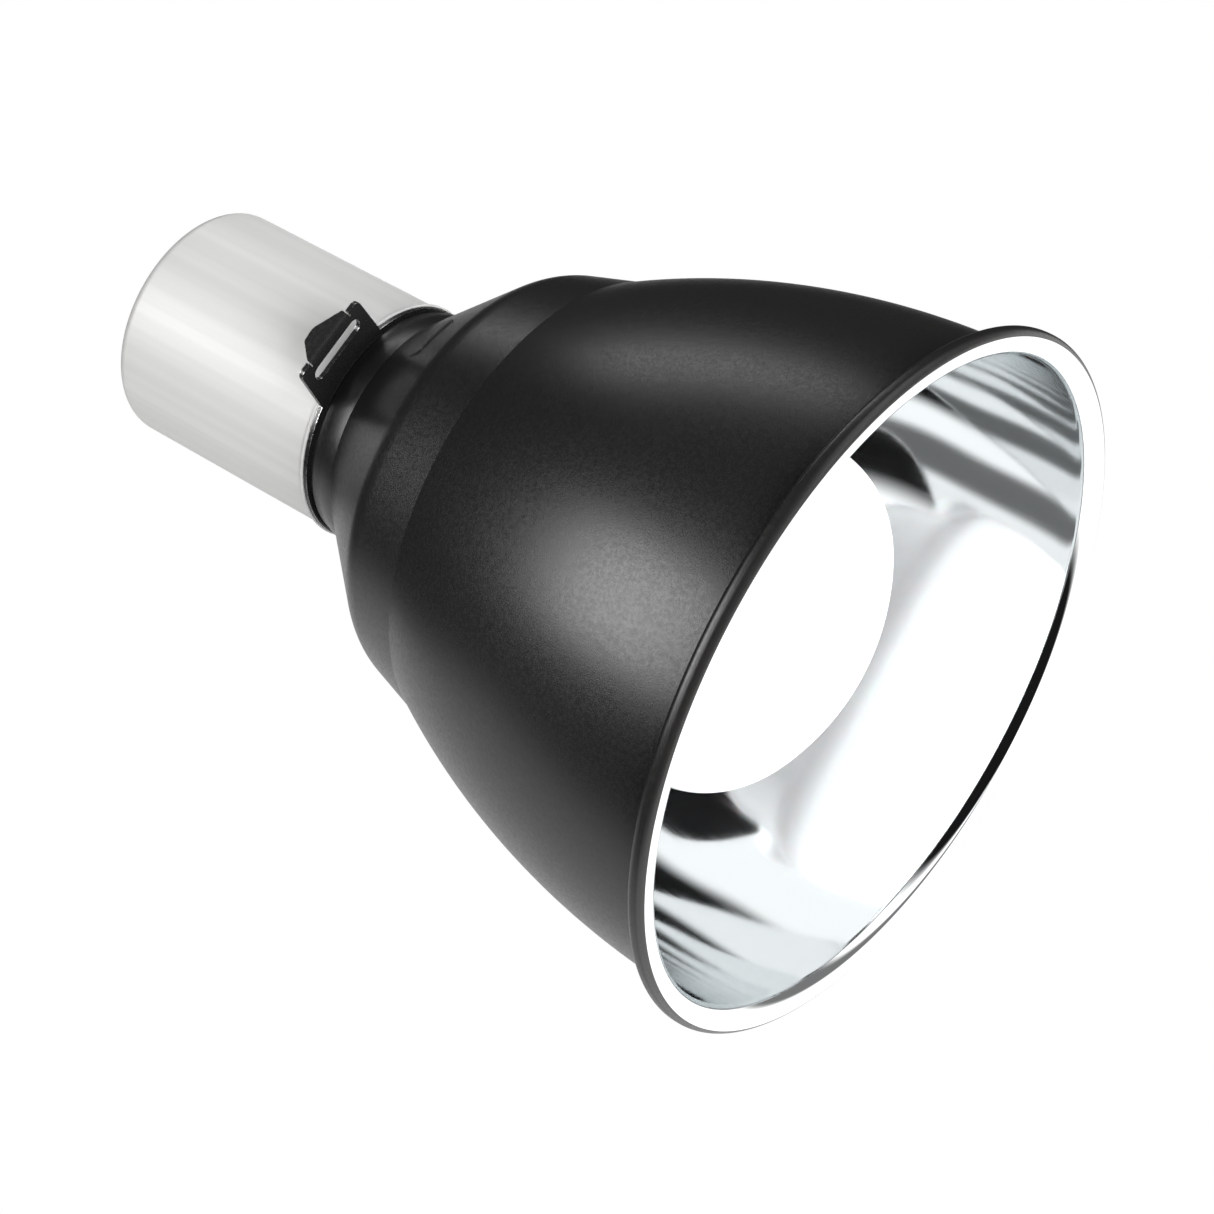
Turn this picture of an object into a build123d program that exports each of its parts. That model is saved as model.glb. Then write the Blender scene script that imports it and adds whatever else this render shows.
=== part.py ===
"""Hanging dome lamp: spun reflector, ceramic screw holder, metal socket cover and white lamp.

Millimetres. +Z runs up the lamp's axis, from the open mouth to the cable inlet. The origin is the centre
of the mouth, on the plane of the rolled lip, so the lamp stands mouth down on z = 0. The hanging tab
points to -Y.
"""

import os
from math import atan2, cos, degrees, radians, sin, sqrt, tan

from build123d import *

os.makedirs("parts", exist_ok=True)

# Reflector
sheet = 1.0                  # aluminium sheet
lip_radius = 107.3           # outside of the rolled lip
lip_height = 5.6
lip_rounding = 2.4
lip_inner_rounding = 4.2
lip_seam = 0.5               # gap between the curled edge and the wall
mouth_radius = 100.2         # outside of the wall at the lip
dome_arc = 243.6             # radius of the dome's profile
dome_start = 6.0             # height where the wall is upright
dome_top = 119.4             # height of the crease between dome and band
band_angle = 16.5            # half angle of the band above the crease
shoulder_height = 141.0
shoulder_rounding = 20.0
cone_angle = 40.2
ledge_radius = 39.0
neck_radius = 36.6
neck_top = 182.9
neck_edge_rounding = 1.4
neck_bulge = 26.0            # radius of the neck's bulging side

# Stack between the neck and the socket cover
neck_hole = 19.9
shoulder_radius = 29.0       # holder shoulder that centres the rings
gasket_thickness = 0.8
gasket_radius = 35.6
ring_thickness = 1.4
ring_radius = 37.4
running_gap = 0.05

# Hanging tab
tab_root_width = 29.2
tab_tip_width = 28.0
tab_reach = 52.2             # from the axis to the tab's outer edge
tab_corner = 2.2
slot_length = 21.2
slot_width = 5.0
slot_centre = 45.7           # from the axis
ear_width = 18.0
ear_height = 5.0
ear_bend = 1.0               # inside bend radius
ear_overhang = 0.8           # the ear's outer face stands this far past the tab's edge
ear_shoulder = 4.4           # left end of the ear's flat top, from its middle
ear_shoulder_drop = 0.4
ear_shoulder_rounding = 1.6
ear_peak = 0.2               # the ear's highest point, from its middle
ear_peak_rounding = 4.0
ear_edge_drop = 0.2          # how far the top's left end is below the ring's top
ear_edge_rise = 0.4          # and its right end above it
ear_relief = 0.5             # slits beside the ear, left by its bend

# Socket cover
cover_radius = 36.8
cover_sheet = 0.9
cover_top = 264.0
cover_edge_rounding = 4.0
cover_flange_radius = 37.85
cover_flange_thickness = 1.0

# Lamp holder
skirt_radius = 19.7
skirt_bottom = 159.0
holder_shoulder_top = 190.0
holder_radius = 24.6
holder_top = 206.0
holder_bore = 14.3
holder_floor = 191.0
terminal_level = 203.0

# Screw thread of lamp and holder, E27
thread_pitch = 3.629
thread_core = 12.0
thread_ridge = 1.15
thread_groove = 1.4
shell_bore = 12.2
shell_bottom = 163.0
shell_top = 184.0
ridge_bottom = 165.4
ridge_turns = 4

# Lamp
face_radius = 53.5           # the bulb's widest circle
face_depth = 34.5            # from that circle down to the middle of its face
face_centre = 50.5           # height of that circle
rim_rounding = 26.0          # profile radius at the edge of the face
back_rounding = 5.0          # and between the widest circle and the shallow back
back_angle = 62.0            # the back's slope, from the axis
glass = 1.2
lamp_neck_radius = 21.0      # where the back meets the neck
waist_rounding = 12.0
cap_bottom = 162.0
cap_top = 183.0
tip_height = 188.5

# Threaded tube and cable inlet
nipple_radius = 5.0
nipple_bore = 4.0
bridge_top = 216.0
nut_flats = 14.0
nut_height = 3.6
washer_thickness = 1.0
nipple_top = cover_top + washer_thickness + nut_height + 2.0
cord_bore = 3.4


def rise(length, angle):
    """Height gained on a slope that moves in by length and leans in by angle from the axis."""
    return length / tan(radians(angle))


# Places on the reflector's outer surface, as (radius, height)
arc_centre = mouth_radius - dome_arc
crease_radius = arc_centre + sqrt(dome_arc**2 - (dome_top - dome_start) ** 2)
shoulder_corner = crease_radius - (shoulder_height - dome_top) * tan(radians(band_angle))
ledge_height = shoulder_height + rise(shoulder_corner - ledge_radius, cone_angle)
arc_middle_height = (dome_start + dome_top) / 2
arc_middle = arc_centre + sqrt(dome_arc**2 - (arc_middle_height - dome_start) ** 2)

# ---------------------------------------------------------------- reflector
with BuildPart() as reflector_dome:
    with BuildSketch(Plane.XZ) as wall:
        with BuildLine():
            Line((0, 0), (0, neck_top))
            Line((0, neck_top), (neck_radius, neck_top))
            RadiusArc((neck_radius, neck_top), (ledge_radius, ledge_height), neck_bulge)
            Line((ledge_radius, ledge_height), (shoulder_corner, shoulder_height))
            Line((shoulder_corner, shoulder_height), (crease_radius, dome_top))
            ThreePointArc(
                (crease_radius, dome_top), (arc_middle, arc_middle_height), (mouth_radius, dome_start)
            )
            Line((mouth_radius, dome_start), (mouth_radius, 0))
            Line((mouth_radius, 0), (0, 0))
        make_face()
        shoulder = wall.vertices().sort_by_distance((shoulder_corner, shoulder_height))[0]
        fillet(shoulder, shoulder_rounding)
        neck_edge = wall.vertices().sort_by_distance((neck_radius, neck_top))[0]
        fillet(neck_edge, neck_edge_rounding)
        offset(amount=-sheet, mode=Mode.SUBTRACT)
        with Locations((neck_hole / 2, neck_top / 2)):
            Rectangle(neck_hole, neck_top, mode=Mode.SUBTRACT)
        with Locations((mouth_radius / 2, 0)):
            Rectangle(mouth_radius, 2 * lip_inner_rounding, mode=Mode.SUBTRACT)
    revolve(axis=Axis.Z)
    with BuildSketch(Plane.XZ) as lip:
        lip_inside = mouth_radius - sheet
        lip_width = lip_radius - lip_inside
        with Locations((lip_inside + lip_width / 2, lip_height / 2)):
            Rectangle(lip_width, lip_height)
        outer_corners = lip.vertices().group_by(Axis.X)[-1]
        fillet(outer_corners, lip_rounding)
        inner_corner = lip.vertices().sort_by_distance((lip_inside, 0))[0]
        fillet(inner_corner, lip_inner_rounding)
        offset(amount=-sheet, mode=Mode.SUBTRACT)
        with Locations((mouth_radius + lip_seam / 2, lip_height)):
            Rectangle(lip_seam, 4 * sheet, mode=Mode.SUBTRACT)
    revolve(axis=Axis.Z)
reflector_dome.part.label = "reflector_dome"
export_step(reflector_dome.part, "parts/reflector_dome.step")

# ---------------------------------------------------------------- blank badge on the cone
badge_length = 16.0
badge_width = 6.0
badge_thickness = 0.4
badge_corner = 1.2
badge_height = 158.6         # height of its centre on the cone
badge_turn = 17.7            # degrees round the axis from the tab
badge_radius = ledge_radius + (ledge_height - badge_height) * tan(radians(cone_angle))
badge_direction = radians(-90 + badge_turn)
badge_normal = (
    cos(radians(cone_angle)) * cos(badge_direction),
    cos(radians(cone_angle)) * sin(badge_direction),
    sin(radians(cone_angle)),
)
badge_plane = Plane(
    origin=(badge_radius * cos(badge_direction), badge_radius * sin(badge_direction), badge_height),
    x_dir=(-sin(badge_direction), cos(badge_direction), 0),
    z_dir=badge_normal,
)
with BuildPart() as blank_badge:
    with BuildSketch(Plane.XZ):
        with BuildLine():
            low = (shoulder_corner, shoulder_height)
            high = (ledge_radius, ledge_height)
            step = badge_thickness / cos(radians(cone_angle))
            Polyline(low, high, (high[0] + step, high[1]), (low[0] + step, low[1]), close=True)
        make_face()
    revolve(axis=Axis.Z)
    with BuildSketch(badge_plane.offset(-2 * badge_width)):
        RectangleRounded(badge_length, badge_width, badge_corner)
    extrude(amount=4 * badge_width, mode=Mode.INTERSECT)
blank_badge.part.label = "blank_badge"
export_step(blank_badge.part, "parts/blank_badge.step")

# ---------------------------------------------------------------- ring that clamps the reflector to the holder
clamp_height = 5.0
clamp_radius = 24.0
clamp_flange_radius = 28.0
clamp_flange = 1.6
grip_count = 24
with BuildPart() as shade_ring:
    with BuildSketch(Plane.XY.offset(neck_top - sheet - clamp_height)):
        Circle(clamp_radius)
        Circle(skirt_radius + running_gap, mode=Mode.SUBTRACT)
        with PolarLocations(clamp_radius, grip_count):
            Circle(0.8, mode=Mode.SUBTRACT)
    extrude(amount=clamp_height - clamp_flange)
    with BuildSketch(Plane.XY.offset(neck_top - sheet - clamp_flange)):
        Circle(clamp_flange_radius)
        Circle(skirt_radius + running_gap, mode=Mode.SUBTRACT)
    extrude(amount=clamp_flange)
shade_ring.part.label = "shade_ring"
export_step(shade_ring.part, "parts/shade_ring.step")

# ---------------------------------------------------------------- gasket
with BuildPart() as seat_gasket:
    with BuildSketch(Plane.XY.offset(neck_top)):
        Circle(gasket_radius)
        Circle(shoulder_radius + running_gap, mode=Mode.SUBTRACT)
    extrude(amount=gasket_thickness)
seat_gasket.part.label = "seat_gasket"
export_step(seat_gasket.part, "parts/seat_gasket.step")

# ---------------------------------------------------------------- hanging ring with its slotted tab
ring_bottom = neck_top + gasket_thickness + running_gap
ring_top = ring_bottom + ring_thickness
tab_root = 30.5              # where the tab's sides start, inside the ring
ear_drop = ear_bend + ring_thickness
ear_root = tab_reach + ear_overhang - ear_drop
ear_top = ring_top + ear_height
with BuildPart() as hanger_ring:
    with BuildSketch(Plane.XY.offset(ring_bottom)) as blank:
        Circle(ring_radius)
        with BuildLine():
            Polyline(
                (-tab_root_width / 2, -tab_root),
                (-tab_tip_width / 2, -tab_reach),
                (tab_tip_width / 2, -tab_reach),
                (tab_root_width / 2, -tab_root),
                close=True,
            )
        make_face()
        fillet(blank.vertices().group_by(Axis.Y)[0], tab_corner)
        Circle(shoulder_radius + 0.08, mode=Mode.SUBTRACT)
        with Locations((0, -slot_centre)):
            SlotOverall(slot_length, slot_width, mode=Mode.SUBTRACT)
        with Locations((0, -ear_root)):
            Rectangle(
                ear_width + 2 * ear_relief, 0.1 + ear_drop, align=(Align.CENTER, Align.MAX), mode=Mode.SUBTRACT
            )
    extrude(amount=ring_thickness)
    with BuildSketch(Plane.YZ.offset(-ear_width / 2)) as bend:
        with BuildLine():
            FilletPolyline(
                (-ear_root, ring_bottom),
                (-ear_root - ear_drop, ring_bottom),
                (-ear_root - ear_drop, ring_bottom + ear_drop),
                radius=ear_drop - 0.01,
            )
            Line((-ear_root - ear_drop, ring_bottom + ear_drop), (-ear_root - ear_drop, ear_top))
            Line((-ear_root - ear_drop, ear_top), (-ear_root - ear_bend, ear_top))
            Line((-ear_root - ear_bend, ear_top), (-ear_root - ear_bend, ring_bottom + ear_drop))
            FilletPolyline(
                (-ear_root - ear_bend, ring_bottom + ear_drop),
                (-ear_root - ear_bend, ring_top),
                (-ear_root, ring_top),
                radius=ear_bend - 0.01,
            )
            Line((-ear_root, ring_top), (-ear_root, ring_bottom))
        make_face()
    extrude(amount=ear_width)
    # The ear's top is cut to a low peak that falls away gently toward +X
    with BuildSketch(Plane.XZ.offset(ear_root)) as above_ear:
        with BuildLine():
            Polyline(
                (-ear_width / 2, ring_top - ear_edge_drop),
                (-ear_shoulder, ear_top - ear_shoulder_drop),
                (ear_peak, ear_top),
                (ear_width / 2, ring_top + ear_edge_rise),
                (ear_width / 2, ear_top + 1),
                (-ear_width / 2, ear_top + 1),
                close=True,
            )
        make_face()
        corners = above_ear.vertices()
        fillet(corners.sort_by_distance((-ear_shoulder, ear_top - ear_shoulder_drop))[0], ear_shoulder_rounding)
        corners = above_ear.vertices()
        fillet(corners.sort_by_distance((ear_peak, ear_top))[0], ear_peak_rounding)
    extrude(amount=2 * ear_drop, mode=Mode.SUBTRACT)
hanger_ring.part.label = "hanger_ring"
export_step(hanger_ring.part, "parts/hanger_ring.step")

# ---------------------------------------------------------------- socket cover
cover_bottom = ring_top + running_gap
with BuildPart() as socket_cover:
    with BuildSketch(Plane.XZ) as cup:
        with Locations((cover_radius / 2, (cover_bottom + cover_top) / 2)):
            Rectangle(cover_radius, cover_top - cover_bottom)
        fillet(cup.vertices().sort_by_distance((cover_radius, cover_top))[0], cover_edge_rounding)
        offset(amount=-cover_sheet, mode=Mode.SUBTRACT)
        inside = cover_radius - cover_sheet
        with Locations((inside / 2, cover_bottom)):
            Rectangle(inside, 4 * cover_sheet, mode=Mode.SUBTRACT)
        inlet_hole = nipple_radius + 0.2
        with Locations((inlet_hole / 2, (cover_bottom + cover_top) / 2)):
            Rectangle(inlet_hole, cover_top - cover_bottom, mode=Mode.SUBTRACT)
        with Locations((cover_radius, cover_bottom + cover_flange_thickness / 2)):
            Rectangle(2 * (cover_flange_radius - cover_radius), cover_flange_thickness)
    revolve(axis=Axis.Z)
    flange_edges = socket_cover.edges().filter_by(GeomType.CIRCLE).group_by(SortBy.RADIUS)[-1]
    fillet(flange_edges, 0.4)
socket_cover.part.label = "socket_cover"
export_step(socket_cover.part, "parts/socket_cover.step")

# ---------------------------------------------------------------- ceramic lamp holder
channel_width = 10.0
channel_length = 38.4
channel_corner = 0.8
spring_pocket = 4.0
pocket_bottom = 195.0
plunger_hole = 2.55
terminal_screw_place = 13.5
shell_screw_place = -16.4
bridge_screw_place = 19.5
screw_hole = 1.6
screw_depth = 8.0
leg_place = -13.2
leg_width = 6.0
leg_thickness = 1.0
with BuildPart() as holder_body:
    with BuildSketch(Plane.XZ) as ceramic:
        with BuildLine():
            Polyline(
                (0, holder_top),
                (holder_radius, holder_top),
                (holder_radius, holder_shoulder_top),
                (shoulder_radius, holder_shoulder_top),
                (shoulder_radius, neck_top),
                (skirt_radius, neck_top),
                (skirt_radius, skirt_bottom),
                (holder_bore, skirt_bottom),
                (holder_bore, holder_floor),
                (0, holder_floor),
                close=True,
            )
        make_face()
        fillet(ceramic.vertices().sort_by_distance((holder_radius, holder_top))[0], 2)
        fillet(ceramic.vertices().sort_by_distance((shoulder_radius, holder_shoulder_top))[0], 1.5)
        fillet(ceramic.vertices().sort_by_distance((skirt_radius, skirt_bottom))[0], 1.5)
    revolve(axis=Axis.Z)
    with BuildSketch(Plane.XY.offset(terminal_level)):
        RectangleRounded(channel_length, channel_width, channel_corner)
    extrude(amount=holder_top - terminal_level, mode=Mode.SUBTRACT)
    with BuildSketch(Plane.XY.offset(pocket_bottom)):
        Circle(spring_pocket)
    extrude(amount=terminal_level - pocket_bottom, mode=Mode.SUBTRACT)
    with BuildSketch(Plane.XY.offset(holder_floor)):
        Circle(plunger_hole)
    extrude(amount=pocket_bottom - holder_floor, mode=Mode.SUBTRACT)
    with BuildSketch(Plane.XY.offset(terminal_level - screw_depth)):
        with Locations((terminal_screw_place, 0), (shell_screw_place, 0)):
            Circle(screw_hole)
    extrude(amount=screw_depth, mode=Mode.SUBTRACT)
    with BuildSketch(Plane.XY.offset(holder_top - screw_depth)):
        with Locations((0, bridge_screw_place), (0, -bridge_screw_place)):
            Circle(screw_hole)
    extrude(amount=screw_depth, mode=Mode.SUBTRACT)
    with BuildSketch(Plane.XY.offset(holder_floor)):
        with Locations((leg_place, 0)):
            Rectangle(leg_thickness + 0.2, leg_width + 0.2)
    extrude(amount=terminal_level - holder_floor, mode=Mode.SUBTRACT)
holder_body.part.label = "holder_body"
export_step(holder_body.part, "parts/holder_body.step")

# ---------------------------------------------------------------- screw shell
thread_length = thread_pitch * ridge_turns
groove_bottom = ridge_bottom - 2 * thread_pitch
groove_turns = 8
with BuildPart() as thread_shell:
    with BuildSketch(Plane.XY.offset(shell_bottom)):
        Circle(holder_bore - 0.05)
        Circle(shell_bore, mode=Mode.SUBTRACT)
    extrude(amount=shell_top - shell_bottom)
    with BuildLine(Plane.XY.offset(groove_bottom)):
        groove_path = Helix(thread_pitch, groove_turns * thread_pitch, thread_core)
    with BuildSketch(Plane(origin=groove_path @ 0, z_dir=groove_path % 0)):
        Circle(thread_groove)
    sweep(path=groove_path, is_frenet=True, mode=Mode.SUBTRACT)
thread_shell.part.label = "thread_shell"
export_step(thread_shell.part, "parts/thread_shell.step")

# ---------------------------------------------------------------- sprung centre contact
plunger_collar = pocket_bottom + 1.0
collar_thickness = 1.2
with BuildPart() as centre_plunger:
    with BuildSketch(Plane.XY.offset(tip_height)):
        Circle(plunger_hole - 0.05)
    extrude(amount=plunger_collar + collar_thickness - tip_height)
    with BuildSketch(Plane.XY.offset(plunger_collar)):
        Circle(spring_pocket - 0.1)
    extrude(amount=collar_thickness)
    chamfer(centre_plunger.edges().group_by(Axis.Z)[0], 0.5)
centre_plunger.part.label = "centre_plunger"
export_step(centre_plunger.part, "parts/centre_plunger.step")

spring_wire = 0.3
spring_radius = 3.0
spring_bottom = plunger_collar + collar_thickness + spring_wire
spring_length = terminal_level - spring_wire - spring_bottom
spring_turns = 4
with BuildPart() as plunger_spring:
    with BuildLine(Plane.XY.offset(spring_bottom)):
        coil = Helix(spring_length / spring_turns, spring_length, spring_radius)
    with BuildSketch(Plane(origin=coil @ 0, z_dir=coil % 0)):
        Circle(spring_wire)
    sweep(path=coil, is_frenet=True)
plunger_spring.part.label = "plunger_spring"
export_step(plunger_spring.part, "parts/plunger_spring.step")

# ---------------------------------------------------------------- terminals
terminal_thickness = 1.0
terminal_width = 8.0
screw_shank = 1.5
with BuildPart() as centre_terminal:
    with BuildSketch(Plane.XY.offset(terminal_level)):
        with Locations((6.5, 0)):
            Rectangle(21, terminal_width)
        with Locations((terminal_screw_place, 0)):
            Circle(screw_hole, mode=Mode.SUBTRACT)
    extrude(amount=terminal_thickness)
centre_terminal.part.label = "centre_terminal"
export_step(centre_terminal.part, "parts/centre_terminal.step")

with BuildPart() as shell_terminal:
    with BuildSketch(Plane.XY.offset(terminal_level)):
        with Locations((-14.6, 0)):
            Rectangle(8.4, terminal_width)
        with Locations((shell_screw_place, 0)):
            Circle(screw_hole, mode=Mode.SUBTRACT)
    extrude(amount=terminal_thickness)
    with BuildSketch(Plane.XY.offset(shell_top)):
        with Locations((leg_place, 0)):
            Rectangle(leg_thickness, leg_width)
    extrude(amount=terminal_level + terminal_thickness - shell_top)
shell_terminal.part.label = "shell_terminal"
export_step(shell_terminal.part, "parts/shell_terminal.step")


def pan_screws(places, seat, shank_length, head_radius, head_height):
    """Slotted pan-head screws standing on the height seat, with their shanks going down from it."""
    with BuildPart() as screws:
        with BuildSketch(Plane.XY.offset(seat)):
            with Locations(*places):
                Circle(head_radius)
        extrude(amount=head_height)
        fillet(screws.edges().group_by(Axis.Z)[-1], head_height * 0.4)
        with BuildSketch(Plane.XY.offset(seat - shank_length)):
            with Locations(*places):
                Circle(screw_shank)
        extrude(amount=shank_length)
        with BuildSketch(Plane.XY.offset(seat + head_height)):
            with Locations(*places):
                Rectangle(2 * head_radius + 1, 0.8)
        extrude(amount=-head_height * 0.5, mode=Mode.SUBTRACT)
    return screws.part


terminal_places = [(terminal_screw_place, 0), (shell_screw_place, 0)]
terminal_screws = pan_screws(terminal_places, terminal_level + terminal_thickness, 7.0, 2.6, 1.8)
terminal_screws.label = "terminal_screws"
export_step(terminal_screws, "parts/terminal_screws.step")

# ---------------------------------------------------------------- stirrup on the back of the holder
bridge_sheet = 1.6
bridge_width = 12.0
bridge_leg = 15.6
bridge_foot = 23.0
with BuildPart() as holder_bridge:
    with BuildSketch(Plane.YZ.offset(-bridge_width / 2)) as stirrup:
        with BuildLine():
            Polyline(
                (bridge_foot, holder_top),
                (bridge_leg, holder_top),
                (bridge_leg, bridge_top - bridge_sheet),
                (-bridge_leg, bridge_top - bridge_sheet),
                (-bridge_leg, holder_top),
                (-bridge_foot, holder_top),
                (-bridge_foot, holder_top + bridge_sheet),
                (-bridge_leg - bridge_sheet, holder_top + bridge_sheet),
                (-bridge_leg - bridge_sheet, bridge_top),
                (bridge_leg + bridge_sheet, bridge_top),
                (bridge_leg + bridge_sheet, holder_top + bridge_sheet),
                (bridge_foot, holder_top + bridge_sheet),
                close=True,
            )
        make_face()
        fillet(stirrup.vertices().group_by(Axis.Y)[-1], 1.2)
    extrude(amount=bridge_width)
    with BuildSketch(Plane.XY.offset(holder_top)):
        Circle(nipple_radius)
        with Locations((0, bridge_screw_place), (0, -bridge_screw_place)):
            Circle(screw_hole)
    extrude(amount=bridge_top - holder_top, mode=Mode.SUBTRACT)
holder_bridge.part.label = "holder_bridge"
export_step(holder_bridge.part, "parts/holder_bridge.step")

bridge_places = [(0, bridge_screw_place), (0, -bridge_screw_place)]
bridge_screws = pan_screws(bridge_places, holder_top + bridge_sheet, 8.0, 2.3, 1.8)
bridge_screws.label = "bridge_screws"
export_step(bridge_screws, "parts/bridge_screws.step")

# ---------------------------------------------------------------- threaded tube, nuts and washer
nipple_bottom = bridge_top - 4.0
with BuildPart() as threaded_nipple:
    with BuildSketch(Plane.XY.offset(nipple_bottom)):
        Circle(nipple_radius)
        Circle(nipple_bore, mode=Mode.SUBTRACT)
    extrude(amount=nipple_top - nipple_bottom)
    outer_ends = threaded_nipple.edges().filter_by(GeomType.CIRCLE).group_by(SortBy.RADIUS)[-1]
    chamfer(outer_ends, 0.5)
threaded_nipple.part.label = "threaded_nipple"
export_step(threaded_nipple.part, "parts/threaded_nipple.step")

cover_nut_seat = cover_top + washer_thickness
with BuildPart() as nipple_nuts:
    for seat in (bridge_top, cover_nut_seat):
        with BuildSketch(Plane.XY.offset(seat)):
            RegularPolygon(nut_flats / 2, 6, major_radius=False)
            Circle(nipple_radius, mode=Mode.SUBTRACT)
        extrude(amount=nut_height)
nipple_nuts.part.label = "nipple_nuts"
export_step(nipple_nuts.part, "parts/nipple_nuts.step")

washer_radius = 9.5
tooth_count = 12
with BuildPart() as lock_washer:
    with BuildSketch(Plane.XY.offset(cover_top)):
        Circle(washer_radius)
        with PolarLocations(washer_radius, tooth_count):
            Circle(0.9, mode=Mode.SUBTRACT)
        Circle(nipple_radius + 0.2, mode=Mode.SUBTRACT)
    extrude(amount=washer_thickness)
lock_washer.part.label = "lock_washer"
export_step(lock_washer.part, "parts/lock_washer.step")

bushing_radius = 6.2
bushing_flange = 2.6
bushing_sleeve = 8.0
with BuildPart() as inlet_bushing:
    with BuildSketch(Plane.XY.offset(nipple_top)):
        Circle(bushing_radius)
    extrude(amount=bushing_flange)
    with BuildSketch(Plane.XY.offset(nipple_top - bushing_sleeve)):
        Circle(nipple_bore)
    extrude(amount=bushing_sleeve)
    fillet(inlet_bushing.edges().group_by(Axis.Z)[-1], 1.0)
    with BuildSketch(Plane.XY.offset(nipple_top - bushing_sleeve)):
        Circle(cord_bore)
    extrude(amount=bushing_sleeve + bushing_flange, mode=Mode.SUBTRACT)
inlet_bushing.part.label = "inlet_bushing"
export_step(inlet_bushing.part, "parts/inlet_bushing.step")

# ---------------------------------------------------------------- lamp
glass_end = cap_bottom + 5.0
lamp_end_radius = thread_core - 0.8
rim_centre = face_radius - rim_rounding
face_curve = (rim_centre**2 + face_depth**2 - rim_rounding**2) / (2 * (face_depth - rim_rounding))
face_turn = degrees(atan2(face_curve - face_depth, rim_centre))
with BuildPart() as lamp_envelope:
    with BuildSketch(Plane.XZ) as bulb:
        with BuildLine():
            face = CenterArc((0, face_centre - face_depth + face_curve), face_curve, -90, 90 - face_turn)
            rim = CenterArc((rim_centre, face_centre), rim_rounding, -face_turn, face_turn)
            back = CenterArc((face_radius - back_rounding, face_centre), back_rounding, 0, back_angle)
            back_start = back @ 1
            waist_height = back_start.Y + (back_start.X - lamp_neck_radius) / tan(radians(back_angle))
            Polyline(
                back_start,
                (lamp_neck_radius, waist_height),
                (thread_core, cap_bottom),
                (lamp_end_radius, cap_bottom),
                (lamp_end_radius, glass_end),
                (0, glass_end),
                face @ 0,
            )
        make_face()
        waist = bulb.vertices().filter_by_position(Axis.Y, waist_height - 1, waist_height + 1)
        fillet(waist, waist_rounding)
        mirror(about=Plane.YZ)
        offset(amount=-glass, mode=Mode.SUBTRACT)
        with Locations((0, glass_end)):
            Rectangle(2 * (lamp_end_radius - glass), 4 * glass, mode=Mode.SUBTRACT)
        with Locations((-face_radius, glass_end / 2)):
            Rectangle(2 * face_radius, 2 * glass_end, mode=Mode.SUBTRACT)
    revolve(axis=Axis.Z)
lamp_envelope.part.label = "lamp_envelope"
export_step(lamp_envelope.part, "parts/lamp_envelope.step")

with BuildPart() as lamp_cap:
    with BuildSketch(Plane.XY.offset(cap_bottom)):
        Circle(thread_core)
    extrude(amount=cap_top - cap_bottom)
    with BuildLine(Plane.XY.offset(ridge_bottom)):
        ridge_path = Helix(thread_pitch, thread_length, thread_core)
    with BuildSketch(Plane(origin=ridge_path @ 0, z_dir=ridge_path % 0)):
        Circle(thread_ridge)
    sweep(path=ridge_path, is_frenet=True)
    with BuildSketch(Plane.XY.offset(cap_bottom)):
        Circle(lamp_end_radius)
    extrude(amount=cap_top - cap_bottom, mode=Mode.SUBTRACT)
lamp_cap.part.label = "lamp_cap"
export_step(lamp_cap.part, "parts/lamp_cap.step")

insulator_top = 186.5
contact_radius = 4.6
with BuildPart() as cap_insulator:
    with BuildSketch(Plane.XZ):
        with BuildLine():
            Polyline(
                (0, cap_top),
                (thread_core, cap_top),
                (contact_radius + 1.5, insulator_top),
                (0, insulator_top),
                close=True,
            )
        make_face()
    revolve(axis=Axis.Z)
cap_insulator.part.label = "cap_insulator"
export_step(cap_insulator.part, "parts/cap_insulator.step")

with BuildPart() as cap_contact:
    with BuildSketch(Plane.XY.offset(insulator_top)):
        Circle(contact_radius)
    extrude(amount=tip_height - insulator_top)
    fillet(cap_contact.edges().group_by(Axis.Z)[-1], 1.2)
cap_contact.part.label = "cap_contact"
export_step(cap_contact.part, "parts/cap_contact.step")

# Glass stem, support wires and filament inside the bulb
stem_radius = 4.5
stem_bottom = 92.0
wire_radius = 0.5
wire_spread = 13.0
filament_height = 62.0
filament_radius = 1.2
filament_wire = 0.25
filament_turns = 12
with BuildPart() as glass_stem:
    with BuildSketch(Plane.XY.offset(stem_bottom)):
        Circle(stem_radius)
    extrude(amount=glass_end - stem_bottom)
    with BuildSketch(Plane.XY.offset(glass_end - 2)):
        Circle(lamp_end_radius - glass)
    extrude(amount=2)
    fillet(glass_stem.edges().group_by(Axis.Z)[0], 1.5)
glass_stem.part.label = "glass_stem"
export_step(glass_stem.part, "parts/glass_stem.step")

with BuildPart() as lamp_leads:
    for side in (-1, 1):
        with BuildLine(Plane.XZ) as wire:
            Line((side * 2, stem_bottom), (side * wire_spread, filament_height))
        with BuildSketch(Plane(origin=wire.line @ 0, z_dir=wire.line % 0)):
            Circle(wire_radius)
        sweep(path=wire.line)
lamp_leads.part.label = "lamp_leads"
export_step(lamp_leads.part, "parts/lamp_leads.step")

filament_plane = Plane(origin=(-wire_spread, 0, filament_height - 2), z_dir=(1, 0, 0))
with BuildPart() as filament:
    with BuildLine(filament_plane):
        spiral = Helix(2 * wire_spread / filament_turns, 2 * wire_spread, filament_radius)
    with BuildSketch(Plane(origin=spiral @ 0, z_dir=spiral % 0)):
        Circle(filament_wire)
    sweep(path=spiral, is_frenet=True)
filament.part.label = "filament"
export_step(filament.part, "parts/filament.step")
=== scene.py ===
from math import asin, atan2, cos, exp, pi, radians, sin, sqrt, tan

import bmesh
import bpy
from mathutils import Matrix, Vector

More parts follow.
